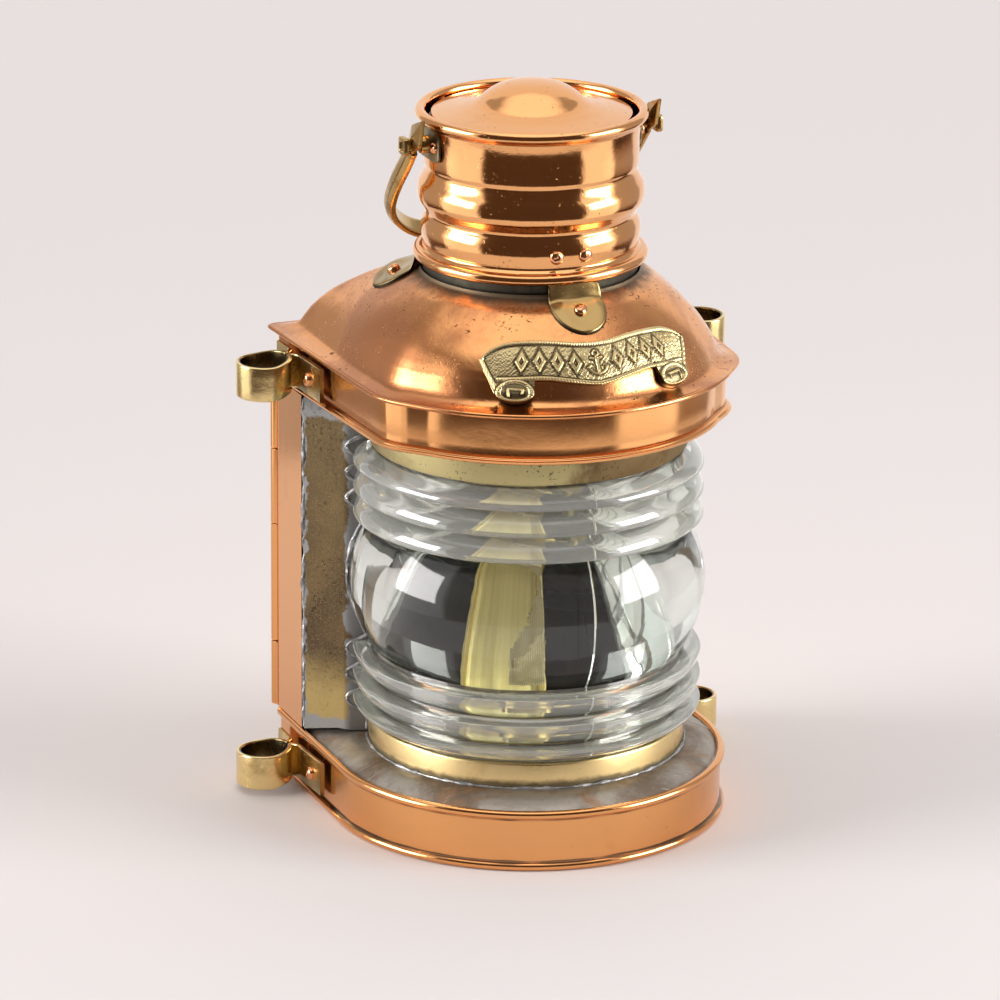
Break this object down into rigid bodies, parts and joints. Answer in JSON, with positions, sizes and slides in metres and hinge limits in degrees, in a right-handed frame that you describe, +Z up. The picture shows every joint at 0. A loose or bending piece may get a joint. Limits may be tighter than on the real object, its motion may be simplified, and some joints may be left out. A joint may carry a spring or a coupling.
{
  "type": "ship lantern",
  "caption": "Copper ship lantern with a ribbed pressed-glass front lens, domed roof, chimney, swinging bail handle, four mounting lugs and a hinged rear door.",
  "frame": {"origin": "on the lens axis at the underside of the base, which rests on a flat surface", "axes": "+Z up; -Y towards the front of the lens; +X to the right as seen from the front"},
  "size_m": [0.184, 0.1472, 0.262],
  "materials": {
    "copper": "polished copper sheet with a warm tarnish",
    "brass": "aged brass, half polished",
    "tinned_sheet": "dull tinned sheet with solder",
    "rivet_copper": "bright copper rivet heads",
    "lens_glass": "clear pressed glass",
    "wick_cotton": "woven cotton wick"
  },
  "bodies": {
    "lantern": {"base_band": "copper", "side_panel_left": "copper", "side_panel_right": "copper", "roof_band": "copper", "roof_dome": "copper", "chimney": "copper", "chimney_cap": "copper", "lens_lower_collar": "brass", "lens_upper_collar": "brass", "screen_left": "brass", "screen_right": "brass", "hinge_pin": "brass", "strap_front": "brass", "strap_left": "brass", "strap_right": "brass", "name_plate": "brass", "ear_left": "brass", "ear_right": "brass", "pivot_left": "brass", "pivot_right": "brass", "lug_lower_left": "brass", "lug_lower_right": "brass", "lug_upper_left": "brass", "lug_upper_right": "brass", "reflector": "brass", "oil_font": "brass", "filler_cap": "brass", "burner": "brass", "base_floor": "tinned_sheet", "base_deck": "tinned_sheet", "ceiling_plate": "tinned_sheet", "neck_ring": "tinned_sheet", "cap_spider": "tinned_sheet", "turn_button_stud": "rivet_copper", "rivet_strap_front": "rivet_copper", "rivet_strap_left": "rivet_copper", "rivet_strap_right": "rivet_copper", "rivet_chimney_left": "rivet_copper", "rivet_chimney_right": "rivet_copper", "rivet_ear_left_front": "rivet_copper", "rivet_ear_left_rear": "rivet_copper", "rivet_ear_right_front": "rivet_copper", "rivet_ear_right_rear": "rivet_copper", "rivet_lug_lower_left_front": "rivet_copper", "rivet_lug_lower_left_rear": "rivet_copper", "rivet_lug_lower_right_front": "rivet_copper", "rivet_lug_lower_right_rear": "rivet_copper", "rivet_lug_upper_left_front": "rivet_copper", "rivet_lug_upper_left_rear": "rivet_copper", "rivet_lug_upper_right_front": "rivet_copper", "rivet_lug_upper_right_rear": "rivet_copper", "lens": "lens_glass"},
    "handle": {"handle": "brass"},
    "rear_door": {"rear_door": "copper", "door_knob": "brass"},
    "turn_button": {"turn_button": "brass"},
    "wick_knob": {"wick_knob": "brass"},
    "wick": {"wick": "wick_cotton"}
  },
  "joints": [
    {"name": "handle_swing", "type": "hinge", "parent": "lantern", "child": "handle", "pos_m": [0, 0, 0.243], "axis": [1, 0, 0], "range_deg": [0, 262]},
    {"name": "door_swing", "type": "hinge", "parent": "lantern", "child": "rear_door", "pos_m": [-0.0684, 0.0681, 0.083], "axis": [0, 0, 1], "range_deg": [0, 130]},
    {"name": "button_turn", "type": "hinge", "parent": "lantern", "child": "turn_button", "pos_m": [0.0635, 0.0676, 0.083], "axis": [0, -1, 0], "range_deg": [0, 90]},
    {"name": "wick_knob_turn", "type": "hinge", "parent": "lantern", "child": "wick_knob", "pos_m": [0.02, 0, 0.0465], "axis": [1, 0, 0], "range_deg": [-60, 90]},
    {"name": "wick_lift", "type": "slide", "parent": "lantern", "child": "wick", "axis": [0, 0, 1], "range_m": [-0.003, 0.0045]}
  ],
  "couplings": [
    {"joint": "wick_knob_turn", "follows": "wick_lift", "rad_per_m": 333.33}
  ]
}
